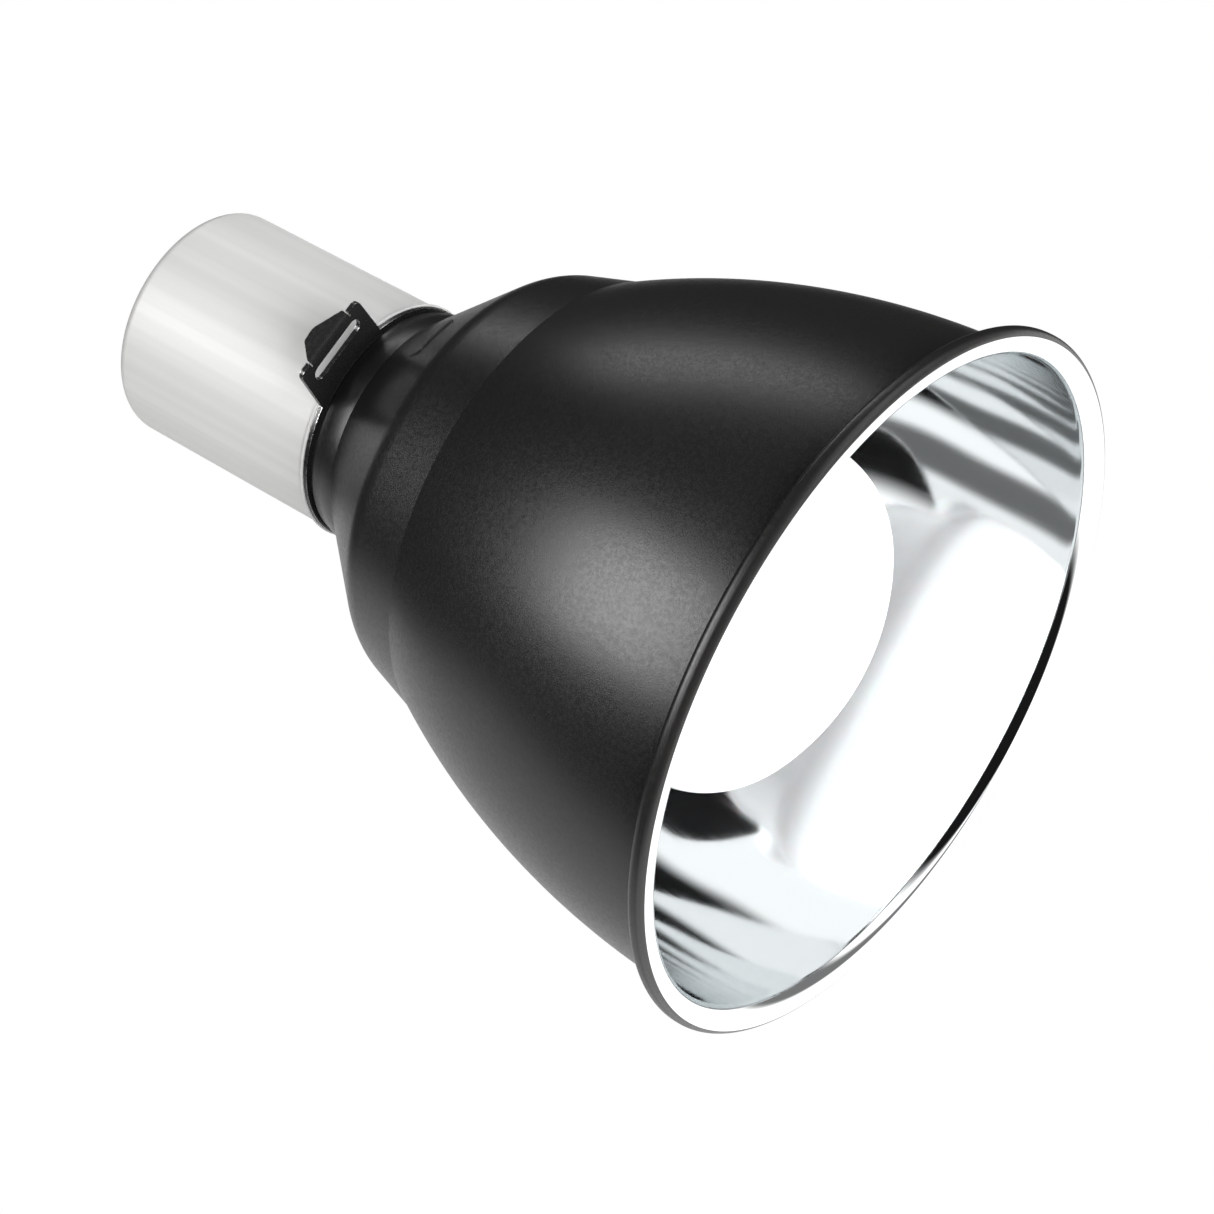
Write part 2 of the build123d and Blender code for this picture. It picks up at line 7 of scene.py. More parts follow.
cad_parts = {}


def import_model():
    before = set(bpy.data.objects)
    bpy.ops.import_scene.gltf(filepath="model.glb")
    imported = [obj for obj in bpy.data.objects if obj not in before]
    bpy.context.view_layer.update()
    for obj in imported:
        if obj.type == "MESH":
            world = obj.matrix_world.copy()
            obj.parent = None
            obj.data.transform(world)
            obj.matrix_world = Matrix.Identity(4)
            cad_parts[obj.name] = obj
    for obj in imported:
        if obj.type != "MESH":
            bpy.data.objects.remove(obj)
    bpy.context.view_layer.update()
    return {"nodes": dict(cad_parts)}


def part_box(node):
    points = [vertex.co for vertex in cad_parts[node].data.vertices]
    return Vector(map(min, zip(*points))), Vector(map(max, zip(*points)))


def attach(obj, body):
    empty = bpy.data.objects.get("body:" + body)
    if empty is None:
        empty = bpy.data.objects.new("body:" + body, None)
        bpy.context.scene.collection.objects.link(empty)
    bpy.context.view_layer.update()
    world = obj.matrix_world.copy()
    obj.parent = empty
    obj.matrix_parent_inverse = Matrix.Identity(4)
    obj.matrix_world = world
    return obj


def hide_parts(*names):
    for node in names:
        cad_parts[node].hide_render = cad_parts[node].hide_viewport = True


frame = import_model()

MM = 0.001

# ------------------------------------------------------------------ sizes, in millimetres as in the CAD
SHEET = 1.0
SKIN = SHEET / 2              # the black and the polished skins share the sheet's thickness
LIP_RADIUS = 107.3
LIP_HEIGHT = 5.6
LIP_ROUNDING = 2.4
PAINT_EDGE = 105.6            # the coat stops on the lip's outer rounding
LIP_INNER_ROUNDING = 4.2
LIP_SEAM = 0.5                # the gap where the rolled edge meets the wall, its depth and its rounding
SEAM_DEPTH = 1.4
SEAM_ROUNDING = 0.3
BLACK_SKIN_START = LIP_INNER_ROUNDING + 2.0      # where each skin's straight wall begins above the lip
BRIGHT_SKIN_START = LIP_INNER_ROUNDING + 1.4
MOUTH_RADIUS = 100.2
DOME_ARC = 243.6
DOME_START = 6.0
DOME_FOOT = DOME_START + 2.0  # the arc's lowest point, just above the lip
DOME_TOP = 119.4
DOME_STEPS = 60
CREASE_ROUNDING = 1.0         # where the dome meets the band
BAND_ANGLE = radians(16.5)
SHOULDER_HEIGHT = 141.0
SHOULDER_ROUNDING = 20.0
CONE_ANGLE = radians(40.2)
LEDGE_RADIUS = 39.0
LEDGE_ROUNDING = 0.5
NECK_RADIUS = 36.6
NECK_TOP = 182.9
NECK_HOLE = 19.9
NECK_BULGE = 26.0
NECK_ROUNDING = 1.4
COVER_SHEET = 0.9
COVER_RADIUS = 36.8
COVER_FLANGE_RADIUS = 37.85
COVER_FLANGE = 1.0            # the flange's thickness
COVER_TOP = 264.0
COVER_EDGE_ROUNDING = 4.0
COVER_HOLE = 5.2
FACE_RADIUS = 53.5            # the bulb's widest circle
FACE_DEPTH = 34.5
FACE_CENTRE = 50.5
RIM_ROUNDING = 26.0
BACK_ROUNDING = 5.0
BACK_ANGLE = radians(62)      # the shallow back's slope, from the axis
LAMP_NECK_RADIUS = 21.0
LAMP_END_RADIUS = 12.0
LAMP_CAP_BOTTOM = 162.0
WAIST_ROUNDING = 12.0

WALL_EASE = 0.4               # the polished wall's gentle swell: its size, its middle and its reach
WALL_EASE_HEIGHT = 65.0
WALL_EASE_REACH = 17.0

LATHE_STEPS = 384
MIRROR_STEPS = 512            # more of them on the polished skin, whose reflections show every facet
WALL_RUN = 4.0                # longest step along a wall's profile
BULB_RUN = 5.0
COVER_RUN = 6.0
SHARP = radians(32)           # edges turning by more than this stay sharp
STRAIGHT = radians(179.5)     # corners opening wider than this need no rounding


# ------------------------------------------------------------------ profiles
def rounded(corners, radii, step=radians(5)):
    """A polyline through corners, each inner corner rounded by an arc of its radius (0 leaves it sharp)."""
    points = [Vector(corners[0])]
    for before, corner, after, radius in zip(corners, corners[1:], corners[2:], radii):
        corner = Vector(corner)
        back = (Vector(before) - corner).normalized()
        on = (Vector(after) - corner).normalized()
        opening = back.angle(on)
        if radius == 0 or opening > STRAIGHT:
            points.append(corner)
            continue
        reach = radius / tan(opening / 2)
        centre = corner + (back + on).normalized() * radius / sin(opening / 2)
        start = corner + back * reach - centre
        turn = pi - opening
        count = max(3, int(turn / step) + 1)
        sign = 1 if start.cross(corner + on * reach - centre) > 0 else -1
        for k in range(count + 1):
            a = sign * turn * k / count
            spun = Vector((start.x * cos(a) - start.y * sin(a), start.x * sin(a) + start.y * cos(a)))
            points.append(centre + spun)
    points.append(Vector(corners[-1]))
    return [p.freeze() for p in points]


def spread(points, longest):
    """The same polyline with no run longer than longest."""
    result = [points[0]]
    for a, b in zip(points, points[1:]):
        pieces = max(1, int((b - a).length / longest) + 1)
        result += [a.lerp(b, k / pieces) for k in range(1, pieces + 1)]
    return result


def moved_in(points, distance):
    """The polyline moved sideways by distance, to the right of its direction."""
    result = []
    for k, point in enumerate(points):
        before = points[max(k - 1, 0)]
        after = points[min(k + 1, len(points) - 1)]
        along = (after - before).normalized()
        result.append(point + Vector((along.y, -along.x)) * distance)
    return result


def arc_points(start, end, radius, count):
    """Points on the arc of this radius from start to end, bulging to the left of the chord."""
    start, end = Vector(start), Vector(end)
    chord = end - start
    middle = (start + end) / 2
    left = Vector((-chord.y, chord.x)).normalized()
    centre = middle - left * sqrt(radius**2 - (chord.length / 2) ** 2)
    a0 = atan2(start.y - centre.y, start.x - centre.x)
    half = asin(chord.length / 2 / radius)
    return [
        centre + Vector((cos(a0 - 2 * half * k / count), sin(a0 - 2 * half * k / count))) * radius
        for k in range(count + 1)
    ]


def dome_radius(height):
    return MOUTH_RADIUS - DOME_ARC + sqrt(DOME_ARC**2 - (height - DOME_START) ** 2)


CREASE_RADIUS = dome_radius(DOME_TOP)
SHOULDER_RADIUS = CREASE_RADIUS - (SHOULDER_HEIGHT - DOME_TOP) * tan(BAND_ANGLE)
LEDGE_HEIGHT = SHOULDER_HEIGHT + (SHOULDER_RADIUS - LEDGE_RADIUS) / tan(CONE_ANGLE)


def eased(point):
    """The polished wall's point, moved by the slight swell that spinning leaves half way up."""
    t = (point.y - WALL_EASE_HEIGHT) / WALL_EASE_REACH
    return point - Vector((WALL_EASE * t * exp(0.5 - 0.5 * t * t), 0.0))


def wall_profile():
    """The reflector's outer surface as (radius, height), from the neck hole down to the lip."""
    bulge = arc_points((NECK_RADIUS, NECK_TOP - NECK_ROUNDING), (LEDGE_RADIUS, LEDGE_HEIGHT), NECK_BULGE, 8)
    neck = rounded([(NECK_HOLE, NECK_TOP), (NECK_RADIUS, NECK_TOP), bulge[1]], [NECK_ROUNDING])
    heights = [DOME_TOP + (DOME_FOOT - DOME_TOP) * k / DOME_STEPS for k in range(DOME_STEPS + 1)]
    dome = [Vector((dome_radius(z), z)) for z in heights]
    corners = [bulge[-2], bulge[-1], (SHOULDER_RADIUS, SHOULDER_HEIGHT), dome[0], dome[2]]
    cone = rounded(corners, [LEDGE_ROUNDING, SHOULDER_ROUNDING, CREASE_ROUNDING], step=radians(2))
    return spread(neck[:-1] + bulge[1:-2] + cone + dome[3:], WALL_RUN)


# ------------------------------------------------------------------ meshes
def new_object(name, bm):
    mesh = bpy.data.meshes.new(name)
    bmesh.ops.recalc_face_normals(bm, faces=bm.faces)
    bm.to_mesh(mesh)
    bm.free()
    mesh.shade_smooth()
    mesh.set_sharp_from_angle(angle=SHARP)
    obj = bpy.data.objects.new(name, mesh)
    bpy.context.scene.collection.objects.link(obj)
    return obj


def lathe(name, profile, closed=True, steps=LATHE_STEPS):
    """A solid of revolution round the lamp's axis, from a profile of (radius, height) in millimetres."""
    bm = bmesh.new()
    rings = []
    for r, z in profile:
        if r < 1e-6:
            rings.append([bm.verts.new((0, 0, z * MM))] * steps)
            continue
        rings.append([
            bm.verts.new((r * MM * cos(2 * pi * k / steps), r * MM * sin(2 * pi * k / steps), z * MM))
            for k in range(steps)
        ])
    pairs = list(zip(rings, rings[1:]))
    if closed:
        pairs.append((rings[-1], rings[0]))
    for low, high in pairs:
        for k in range(steps):
            n = (k + 1) % steps
            corners = list(dict.fromkeys((low[k], low[n], high[n], high[k])))
            if len(corners) > 2:
                bm.faces.new(corners)
    return new_object(name, bm)


# ------------------------------------------------------------------ node helpers
class Nodes:
    """A short way to write a node tree: each call adds a node and returns it or its first output."""

    def __init__(self, tree):
        self.tree = tree
        tree.nodes.clear()

    def add(self, kind, inputs=None, **settings):
        node = self.tree.nodes.new(kind)
        for key, value in settings.items():
            setattr(node, key, value)
        for key, value in (inputs or {}).items():
            if isinstance(value, bpy.types.NodeSocket):
                self.tree.links.new(value, node.inputs[key])
            else:
                node.inputs[key].default_value = value
        return node

    def math(self, operation, a, b=0.0, c=0.0, clamp=False):
        inputs = {0: a, 1: b, 2: c}
        return self.add("ShaderNodeMath", inputs, operation=operation, use_clamp=clamp).outputs[0]

    def vector(self, operation, a, b=(0, 0, 0), output=0):
        return self.add("ShaderNodeVectorMath", {0: a, 1: b}, operation=operation).outputs[output]

    def noise(self, vector, scale, detail=2.0, roughness=0.5):
        inputs = {"Vector": vector, "Scale": scale, "Detail": detail, "Roughness": roughness}
        return self.add("ShaderNodeTexNoise", inputs).outputs["Fac"]

    def step(self, value, low, high, to_low=0.0, to_high=1.0):
        inputs = {"Value": value, "From Min": low, "From Max": high, "To Min": to_low, "To Max": to_high}
        node = self.add("ShaderNodeMapRange", inputs, interpolation_type="SMOOTHSTEP")
        return node.outputs["Result"]

    def mix(self, factor, a, b):
        node = self.add("ShaderNodeMix", {0: factor, 6: a, 7: b}, data_type="RGBA")
        return node.outputs[2]

    def separate(self, vector):
        return self.add("ShaderNodeSeparateXYZ", {0: vector}).outputs

    def combine(self, x, y, z):
        return self.add("ShaderNodeCombineXYZ", {0: x, 1: y, 2: z}).outputs[0]


def colour(value, tint=(1, 1, 1)):
    return (value * tint[0], value * tint[1], value * tint[2], 1.0)


def material(name, build):
    """A material whose tree is filled by build(nodes, place), which returns the Principled inputs."""
    mat = bpy.data.materials.new(name)
    mat.use_nodes = True
    n = Nodes(mat.node_tree)
    place = n.add("ShaderNodeTexCoord").outputs["Object"]
    inputs = build(n, place)
    shader = n.add("ShaderNodeBsdfPrincipled", inputs)
    n.add("ShaderNodeOutputMaterial", {"Surface": shader.outputs[0]})
    return mat


def bump(n, height, distance, strength=1.0, normal=None):
    inputs = {"Height": height, "Distance": distance, "Strength": strength}
    if normal is not None:
        inputs["Normal"] = normal
    return n.add("ShaderNodeBump", inputs).outputs[0]


def polar(n, place):
    """Angle round the axis (radians), radius and height (metres) of a place."""
    x, y, z = n.separate(place)[:3]
    angle = n.math("ARCTAN2", y, x)
    flat = n.combine(x, y, 0.0)
    return angle, n.vector("LENGTH", flat, output=1), z


# ------------------------------------------------------------------ materials
def black_coat(n, place):
    """Fine satin powder coat, with a faint orange peel and a slightly warm black."""
    grain = n.noise(place, 2600.0, 3.0, 0.6)
    peel = n.noise(place, 420.0, 2.0)
    cloud = n.noise(place, 14.0, 3.0)
    shade = n.mix(cloud, colour(0.006, (1.0, 0.97, 0.93)), colour(0.008, (1.0, 0.97, 0.92)))
    rough = n.step(n.noise(place, 900.0, 3.0), 0.3, 0.7, 0.28, 0.36)
    fine = bump(n, grain, 0.00006, 0.5)
    normal = bump(n, peel, 0.00005, 0.35, fine)
    return {"Base Color": shade, "Roughness": rough, "Normal": normal, "Specular IOR Level": 0.5}


def polished(n, place):
    """Bare spun aluminium, polished: a near mirror with fine turning lines and a faint lengthwise grain."""
    angle, radius, height = polar(n, place)
    lines = n.noise(n.combine(n.math("MULTIPLY", height, 2600.0), 0.0, 0.0), 1.0, 3.0)
    grain = n.noise(n.combine(n.math("MULTIPLY", angle, 60.0), n.math("MULTIPLY", height, 5.0), 0.0), 1.0, 3.0)
    cloud = n.noise(place, 30.0, 3.0)
    rough = n.step(n.math("ADD", grain, cloud), 0.7, 1.3, 0.035, 0.075)
    shade = n.mix(lines, colour(0.85, (0.98, 0.995, 1.0)), colour(0.89, (0.98, 0.995, 1.0)))
    normal = bump(n, lines, 0.000004, 0.25)
    return {"Base Color": shade, "Metallic": 1.0, "Roughness": rough, "Normal": normal}


def cover_metal(n, place):
    """Satin aluminium of the socket cover, its colour carrying soft lengthwise bands of painted reflection."""
    angle, radius, height = polar(n, place)
    around = n.math("MULTIPLY", angle, 9.0)
    painted_reflection_bands = n.noise(n.combine(around, n.math("MULTIPLY", height, 1.5), 3.0), 1.0, 2.0)
    fine = n.noise(n.combine(n.math("MULTIPLY", angle, 400.0), n.math("MULTIPLY", height, 20.0), 0.0), 1.0, 2.0)
    # painted reflection: soft lengthwise lighter and darker bands in the colour stand in for reflected bands
    shade = n.mix(n.step(painted_reflection_bands, 0.35, 0.65), colour(0.53, (1.0, 1.0, 0.985)), colour(0.565, (1.0, 1.0, 0.985)))
    rough = n.step(fine, 0.3, 0.7, 0.40, 0.50)
    normal = bump(n, fine, 0.00001, 0.3)
    return {
        "Base Color": shade, "Metallic": 0.05, "Roughness": rough, "Normal": normal, "Specular IOR Level": 0.25,
    }


def opal_glass(n, place):
    """White opal glass: bright, with a smooth gloss and a faint painted glow (emission) that lightens the unlit
    bulb's shaded back.
    """
    cloud = n.noise(place, 25.0, 2.0)
    shade = n.mix(cloud, colour(0.90, (0.97, 0.985, 1.0)), colour(0.94, (0.97, 0.985, 1.0)))
    rough = n.step(n.noise(place, 60.0, 2.0), 0.3, 0.7, 0.10, 0.16)
    return {
        "Base Color": shade, "Roughness": rough, "Subsurface Weight": 0.25, "Subsurface Scale": 0.01,
        "Coat Weight": 0.4, "Coat Roughness": 0.05,
        # painted light: the unlit bulb glows faintly so its shaded back and its reflections read white
        "Emission Color": colour(1.0, (0.97, 0.985, 1.0)), "Emission Strength": 0.35,
    }


def worn_black_steel(n, place):
    """Gloss black steel whose edges have rubbed bright."""
    edge = n.add("ShaderNodeBevel", {"Radius": 0.0007}, samples=6).outputs[0]
    true = n.add("ShaderNodeNewGeometry").outputs["Normal"]
    bend = n.vector("DOT_PRODUCT", edge, true, output=1)
    patches = n.noise(place, 300.0, 4.0, 0.65)
    limit = n.step(patches, 0.40, 0.75, 0.72, 0.94)
    worn = n.math("LESS_THAN", bend, limit)
    shade = n.mix(worn, colour(0.012), colour(0.62, (1.0, 0.99, 0.96)))
    rough = n.step(n.noise(place, 700.0, 3.0), 0.3, 0.7, 0.22, 0.34)
    normal = bump(n, n.noise(place, 1500.0, 2.0), 0.00004, 0.4)
    return {"Base Color": shade, "Metallic": worn, "Roughness": rough, "Normal": normal}


def badge_paint(n, place):
    """Blank stippled patch, a little lighter than the coat round it."""
    cells = n.add("ShaderNodeTexVoronoi", {"Vector": place, "Scale": 900.0}).outputs["Distance"]
    dots = n.step(cells, 0.25, 0.45)
    shade = n.mix(dots, colour(0.11, (1.0, 0.99, 0.95)), colour(0.03))
    return {"Base Color": shade, "Roughness": 0.42, "Normal": bump(n, dots, -0.00008, 0.8)}


def fibre(n, place):
    weave = n.noise(place, 1800.0, 4.0, 0.7)
    shade = n.mix(weave, colour(0.008), colour(0.02))
    return {"Base Color": shade, "Roughness": 0.85, "Normal": bump(n, weave, 0.0001, 0.6)}


def ceramic(n, place):
    cloud = n.noise(place, 90.0, 3.0)
    shade = n.mix(cloud, colour(0.80, (1.0, 0.97, 0.91)), colour(0.88, (1.0, 0.98, 0.94)))
    return {"Base Color": shade, "Roughness": 0.2, "Normal": bump(n, cloud, 0.0002, 0.2), "Coat Weight": 0.5}


def metal(value, tint, low, high):
    """A plain plated metal with small wear marks, as a build function for material()."""
    def build(n, place):
        marks = n.noise(place, 600.0, 4.0, 0.6)
        shade = n.mix(marks, colour(value * 0.88, tint), colour(value, tint))
        rough = n.step(marks, 0.3, 0.7, low, high)
        return {"Base Color": shade, "Metallic": 1.0, "Roughness": rough, "Normal": bump(n, marks, 0.00003, 0.3)}
    return build


def plastic(value, low, high):
    def build(n, place):
        grain = n.noise(place, 1600.0, 3.0)
        shade = n.mix(grain, colour(value), colour(value * 1.5))
        rough = n.step(grain, 0.3, 0.7, low, high)
        return {"Base Color": shade, "Roughness": rough, "Normal": bump(n, grain, 0.00004, 0.4)}
    return build


def clear_glass(n, place):
    cloud = n.noise(place, 120.0, 2.0)
    rough = n.step(cloud, 0.3, 0.7, 0.02, 0.06)
    return {"Base Color": colour(0.95), "Roughness": rough, "Transmission Weight": 1.0, "IOR": 1.5}


def floor_paint(n, place):
    cloud = n.noise(place, 1.5, 3.0)
    shade = n.mix(cloud, colour(0.86), colour(0.88))
    return {"Base Color": shade, "Roughness": 0.7}


BLACK = material("black_coat", black_coat)
POLISHED = material("polished", polished)
COVER = material("cover_metal", cover_metal)
OPAL = material("opal_glass", opal_glass)
WORN = material("worn_black_steel", worn_black_steel)
BADGE = material("badge", badge_paint)
FIBRE = material("fibre", fibre)
CERAMIC = material("ceramic", ceramic)
ZINC = material("zinc", metal(0.66, (1.0, 0.99, 0.96), 0.25, 0.42))
BRASS = material("brass", metal(0.75, (1.0, 0.80, 0.48), 0.22, 0.38))
WIRE = material("wire", metal(0.60, (1.0, 1.0, 1.0), 0.2, 0.3))
SOLDER = material("solder", metal(0.55, (1.0, 1.0, 0.98), 0.4, 0.55))
CAP_METAL = material("cap_metal", metal(0.74, (1.0, 1.0, 0.98), 0.25, 0.4))
BUSHING = material("bushing", plastic(0.012, 0.35, 0.5))
CAP_GLASS = material("cap_glass", plastic(0.01, 0.08, 0.15))
CLEAR = material("clear_glass", clear_glass)


# ------------------------------------------------------------------ the reflector's two skins
def lip_corner(start, end):
    """The lip's outer bottom rounding between two radii, as seen from below going inwards."""
    centre = Vector((LIP_RADIUS - LIP_ROUNDING, LIP_ROUNDING))
    first, last = (asin(min(1.0, (r - centre.x) / LIP_ROUNDING)) for r in (start, end))
    turns = [first + (last - first) * k / 8 for k in range(9)]
    return [centre + Vector((sin(t), -cos(t))) * LIP_ROUNDING for t in turns]


def reflector():
    """The spun sheet as two skins: black outside up to the lip's outer rounding, polished inside."""
    outer = wall_profile()
    middle = moved_in(outer, SKIN)
    inner = [eased(point) for point in moved_in(outer, SHEET)]
    wall = MOUTH_RADIUS - SHEET
    seam = MOUTH_RADIUS + LIP_SEAM
    bead = rounded(
        [
            (MOUTH_RADIUS, LIP_HEIGHT - SEAM_DEPTH), (seam, LIP_HEIGHT - SEAM_DEPTH), (seam, LIP_HEIGHT),
            (LIP_RADIUS, LIP_HEIGHT), (LIP_RADIUS, LIP_ROUNDING),
        ],
        [0.0, SEAM_ROUNDING, LIP_ROUNDING],
        step=radians(8),
    )
    split = rounded(
        [(PAINT_EDGE, SKIN), (MOUTH_RADIUS - SKIN, SKIN), (MOUTH_RADIUS - SKIN, BLACK_SKIN_START)],
        [LIP_INNER_ROUNDING - SKIN],
        step=radians(6),
    )
    painted = lip_corner(LIP_RADIUS, PAINT_EDGE)
    black = outer + bead[:-1] + painted + split + middle[::-1]
    skin = lathe("dome_outside", black)
    skin.data.materials.append(BLACK)
    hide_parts("reflector_dome")
    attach(skin, "root")

    bare = lip_corner(PAINT_EDGE, LIP_RADIUS - LIP_ROUNDING)
    roll = rounded(
        [tuple(bare[-1]), (wall, 0), (wall, BRIGHT_SKIN_START)], [LIP_INNER_ROUNDING], step=radians(3)
    )
    bright = middle + split[::-1] + bare[:-1] + roll + inner[::-1]
    skin = lathe("dome_inside", bright, steps=MIRROR_STEPS)
    skin.data.materials.append(POLISHED)
    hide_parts("reflector_dome")
    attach(skin, "root")


def cover():
    """The socket cover: a drawn cup with an out-turned flange at its mouth."""
    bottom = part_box("socket_cover")[0][2] / MM
    inside = COVER_RADIUS - COVER_SHEET
    ceiling = COVER_TOP - COVER_SHEET
    flange = bottom + COVER_FLANGE
    profile = rounded(
        [
            (COVER_HOLE, ceiling), (COVER_HOLE, COVER_TOP), (COVER_RADIUS, COVER_TOP), (COVER_RADIUS, flange),
            (COVER_FLANGE_RADIUS, flange), (COVER_FLANGE_RADIUS, bottom), (inside, bottom), (inside, ceiling),
            (COVER_HOLE, ceiling),
        ],
        [0.2, COVER_EDGE_ROUNDING, 0.4, 0.45, 0.45, 0.3, COVER_EDGE_ROUNDING - COVER_SHEET],
    )
    cup = lathe("cover_cup", spread(profile[:-1], COVER_RUN))
    cup.data.materials.append(COVER)
    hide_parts("socket_cover")
    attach(cup, "root")


def bulb():
    """The white bulb: a wide shallow face, a round rim, a flatter back and the long neck into the cap."""
    rim_centre = FACE_RADIUS - RIM_ROUNDING
    curve = (rim_centre**2 + FACE_DEPTH**2 - RIM_ROUNDING**2) / (2 * (FACE_DEPTH - RIM_ROUNDING))
    meet = -atan2(curve - FACE_DEPTH, rim_centre)
    back = [
        Vector((FACE_RADIUS - BACK_ROUNDING * (1 - cos(t)), FACE_CENTRE + BACK_ROUNDING * sin(t)))
        for t in (BACK_ANGLE * (1 - k / 16) for k in range(16))
    ]
    rim = [
        Vector((rim_centre + RIM_ROUNDING * cos(t), FACE_CENTRE + RIM_ROUNDING * sin(t)))
        for t in (meet * k / 32 for k in range(33))
    ]
    face = [
        Vector((curve * cos(t), FACE_CENTRE - FACE_DEPTH + curve + curve * sin(t)))
        for t in (meet + (-pi / 2 - meet) * k / 32 for k in range(1, 32))
    ]
    face.append(Vector((0.0, FACE_CENTRE - FACE_DEPTH)))
    start = back[0]
    waist = (LAMP_NECK_RADIUS, start.y + (start.x - LAMP_NECK_RADIUS) / tan(BACK_ANGLE))
    neck = rounded([(LAMP_END_RADIUS, LAMP_CAP_BOTTOM), waist, tuple(start)], [WAIST_ROUNDING], step=radians(3))
    side = spread(neck, BULB_RUN)
    body = lathe("bulb_glass", [Vector((0.0, LAMP_CAP_BOTTOM))] + side + back[1:] + rim + face, closed=False)
    body.data.materials.append(OPAL)
    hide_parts("lamp_envelope")
    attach(body, "lamp")


def cad_finishes():
    """Materials for the CAD nodes that stay."""
    finishes = {
        WORN: ["hanger_ring"], BADGE: ["blank_badge"], FIBRE: ["seat_gasket"], CERAMIC: ["holder_body"],
        ZINC: ["shade_ring", "holder_bridge", "bridge_screws", "threaded_nipple", "nipple_nuts", "lock_washer"],
        BRASS: ["thread_shell", "centre_plunger", "centre_terminal", "shell_terminal", "terminal_screws"],
        WIRE: ["plunger_spring", "lamp_leads", "filament"], SOLDER: ["cap_contact"], CAP_METAL: ["lamp_cap"],
        BUSHING: ["inlet_bushing"], CAP_GLASS: ["cap_insulator"], CLEAR: ["glass_stem"],
    }
    for finish, names in finishes.items():
        for name in names:
            node = frame["nodes"][name]
            node.data.materials.clear()
            node.data.materials.append(finish)


# ------------------------------------------------------------------ camera, floor, world and lights
VIEW_AZIMUTH = radians(-13.2)     # round the lamp from straight in front of the hanging tab
VIEW_ELEVATION = radians(-28.4)   # from below, looking up into the mouth
VIEW_ROLL = radians(61.05)
VIEW_TARGET = Vector((-16.5, 3.9, 89.6)) * MM
VIEW_DISTANCE = 1.0044
FOCAL_LENGTH = 103.8
FLOOR_HEIGHT = -0.75
FLOOR_REACH = 12.0
AMBIENT = 0.75
MAX_BOUNCES = 20                 # the deep mirror passes light on many times
GLOSSY_BOUNCES = 16
LOW_LEVEL = 1.5                  # the white room below the lamp, as its mirror sees it
HIGH_LEVEL = 0.04                # the dark ceiling
BACKDROP_LEVEL = 0.85             # the pale backdrop behind the lamp
BACKDROP = (-155, 55, 8)         # its azimuth, half width and softness (degrees)
HORIZON = (-3, 9)                # elevations over which the low room turns into the high one
BACKDROP_TOP = (50, 61)          # elevations where it fades into the ceiling
# Dark flags below the lamp: azimuth, half width, softness (degrees) and depth
FLAGS = [(-25, 64, 12, 0.993), (100, 21, 8, 0.86), (145, 16, 6, 0.12)]
LIGHTS_AIM = Vector((0, 0, 0.11))
# Softboxes, for the gloss only: name, azimuth, elevation, distance, width, height and power
SOFTBOXES = [("key", -29, 35, 1.6, 0.9, 0.8, 21), ("strip", 66, 41, 1.8, 0.36, 1.1, 4.2)]
# Fills, for the matt surfaces only: name, azimuth, elevation, distance and power
FILLS = [("front", -40, 28, 1.6, 2), ("below", -13, -62, 0.62, 12), ("far", 125, -50, 0.62, 12)]
FILL_SIZE = 0.7


def direction(azimuth, elevation):
    """Unit vector from the lamp towards an azimuth (0 is -Y, growing towards +X) and elevation."""
    flat = cos(elevation)
    return Vector((flat * sin(azimuth), -flat * cos(azimuth), sin(elevation)))


def camera():
    data = bpy.data.cameras.new("camera")
    data.lens = FOCAL_LENGTH
    data.sensor_width = 36.0
    data.clip_start = 0.02
    data.clip_end = 60.0
    cam = bpy.data.objects.new("camera", data)
    bpy.context.scene.collection.objects.link(cam)
    back = direction(VIEW_AZIMUTH, VIEW_ELEVATION)
    right = Vector((0, 0, 1)).cross(back).normalized()
    up = back.cross(right)
    turn = Matrix.Rotation(-VIEW_ROLL, 3, back)
    right, up = turn @ right, turn @ up
    axes = Matrix((right, up, back)).transposed().to_4x4()
    cam.matrix_world = Matrix.Translation(VIEW_TARGET + back * VIEW_DISTANCE) @ axes
    bpy.context.scene.camera = cam


def floor():
    """A pale floor well below the lamp, which hangs above it."""
    bm = bmesh.new()
    bmesh.ops.create_grid(bm, x_segments=8, y_segments=8, size=FLOOR_REACH)
    obj = new_object("floor", bm)
    obj.location = (0, 0, FLOOR_HEIGHT)
    obj.data.materials.append(material("floor", floor_paint))
    obj.visible_glossy = False


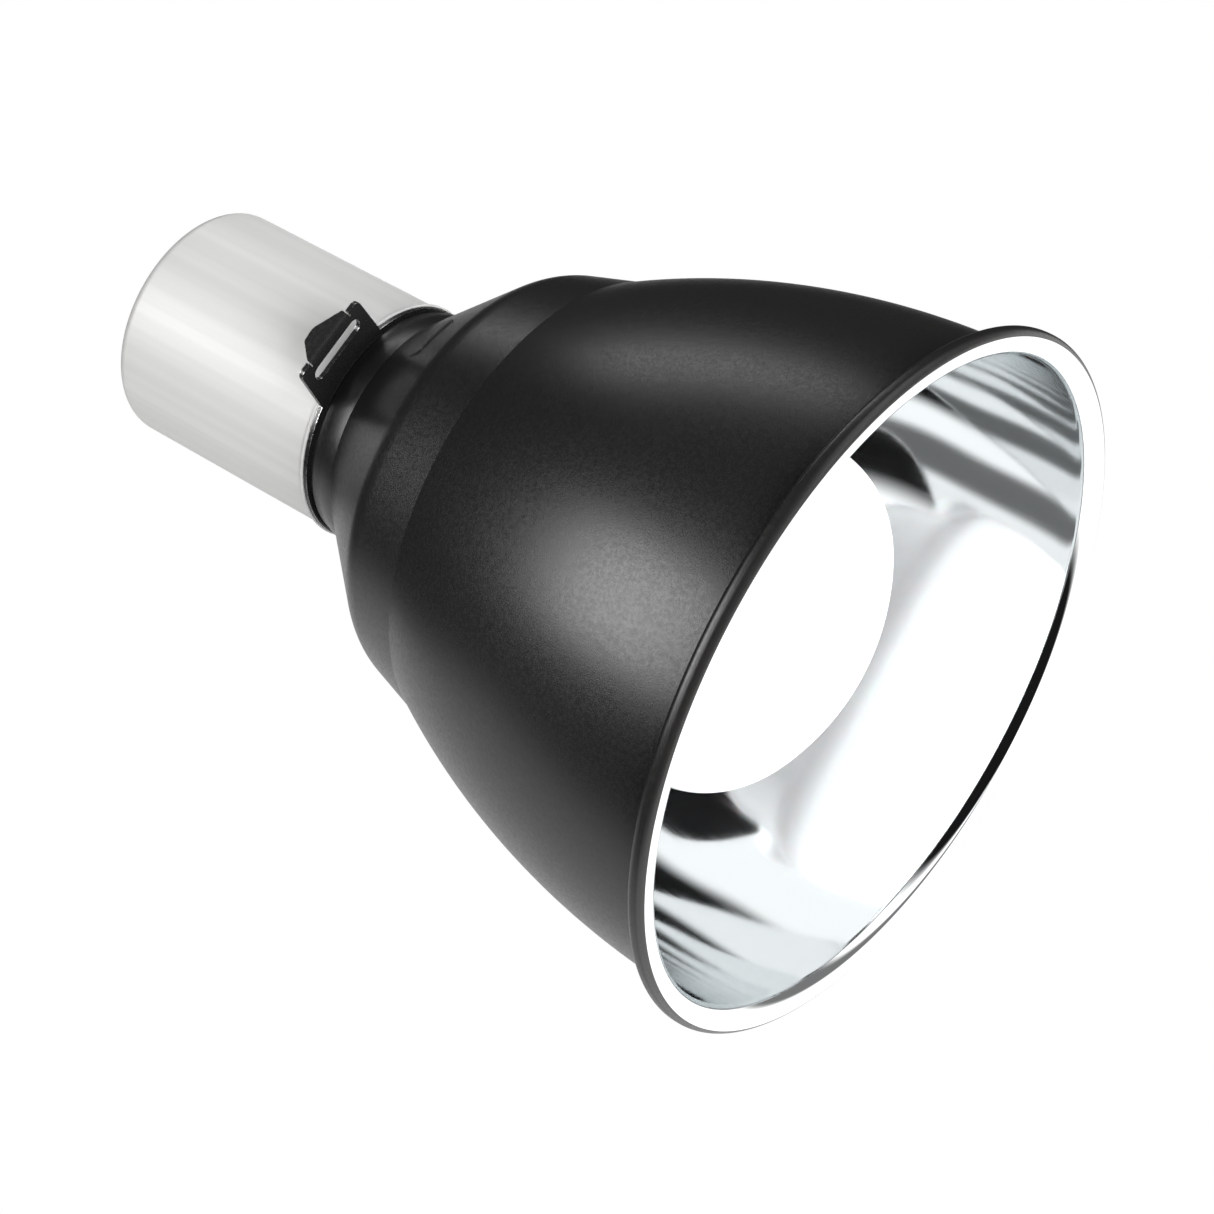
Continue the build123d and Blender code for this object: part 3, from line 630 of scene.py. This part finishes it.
def world():
    """A white room for the camera and for soft light; reflections see its dark flags as well."""
    data = bpy.data.worlds.new("studio")
    bpy.context.scene.world = data
    data.use_nodes = True
    n = Nodes(data.node_tree)
    aim = n.add("ShaderNodeTexCoord").outputs["Generated"]
    x, y, z = n.separate(aim)[:3]
    level = n.vector("NORMALIZE", n.combine(x, y, 0.0))
    low = 1.0
    for azimuth, half_width, softness, depth in FLAGS:
        facing = n.vector("DOT_PRODUCT", level, tuple(direction(radians(azimuth), 0)), output=1)
        outer = cos(radians(half_width + softness))
        inner = cos(radians(half_width - softness))
        low = n.math("MULTIPLY", low, n.step(facing, outer, inner, 1.0, 1 - depth))
    low = n.math("MULTIPLY", low, LOW_LEVEL)
    azimuth, half_width, softness = BACKDROP
    facing = n.vector("DOT_PRODUCT", level, tuple(direction(radians(azimuth), 0)), output=1)
    wide = n.step(facing, cos(radians(half_width + softness)), cos(radians(half_width - softness)))
    tall = n.step(z, sin(radians(BACKDROP_TOP[0])), sin(radians(BACKDROP_TOP[1])), 1.0, 0.0)
    high = n.step(n.math("MULTIPLY", wide, tall), 0.0, 1.0, HIGH_LEVEL, BACKDROP_LEVEL)
    above = n.step(z, sin(radians(HORIZON[0])), sin(radians(HORIZON[1])))
    seen = n.add("ShaderNodeMix", {0: above, 2: low, 3: high}).outputs[0]
    path = n.add("ShaderNodeLightPath").outputs
    soft = n.add("ShaderNodeMix", {0: path["Is Diffuse Ray"], 2: 1.0, 3: AMBIENT}).outputs[0]
    strength = n.add("ShaderNodeMix", {0: path["Is Glossy Ray"], 2: soft, 3: seen}).outputs[0]
    background = n.add("ShaderNodeBackground", {"Color": colour(1.0), "Strength": strength})
    n.add("ShaderNodeOutputWorld", {"Surface": background.outputs[0]})


def softbox(name, azimuth, elevation, distance, width, height, power):
    light = bpy.data.lights.new(name, "AREA")
    light.shape = "RECTANGLE"
    light.size = width
    light.size_y = height
    light.energy = power
    obj = bpy.data.objects.new(name, light)
    aim = direction(radians(azimuth), radians(elevation))
    obj.location = LIGHTS_AIM + aim * distance
    obj.rotation_euler = aim.to_track_quat("Z", "Y").to_euler()
    bpy.context.scene.collection.objects.link(obj)
    return obj


def lights():
    """Two softboxes for the gloss and three broad fills for the matt surfaces."""
    for name, azimuth, elevation, distance, width, height, power in SOFTBOXES:
        softbox(name, azimuth, elevation, distance, width, height, power).visible_diffuse = False
    for name, azimuth, elevation, distance, power in FILLS:
        fill = softbox(name, azimuth, elevation, distance, FILL_SIZE, FILL_SIZE, power)
        fill.visible_glossy = False
        fill.visible_camera = False


reflector()
cover()
bulb()
cad_finishes()
camera()
floor()
world()
lights()
bpy.context.scene.view_settings.view_transform = "Standard"
bpy.context.scene.cycles.max_bounces = MAX_BOUNCES
bpy.context.scene.cycles.glossy_bounces = GLOSSY_BOUNCES
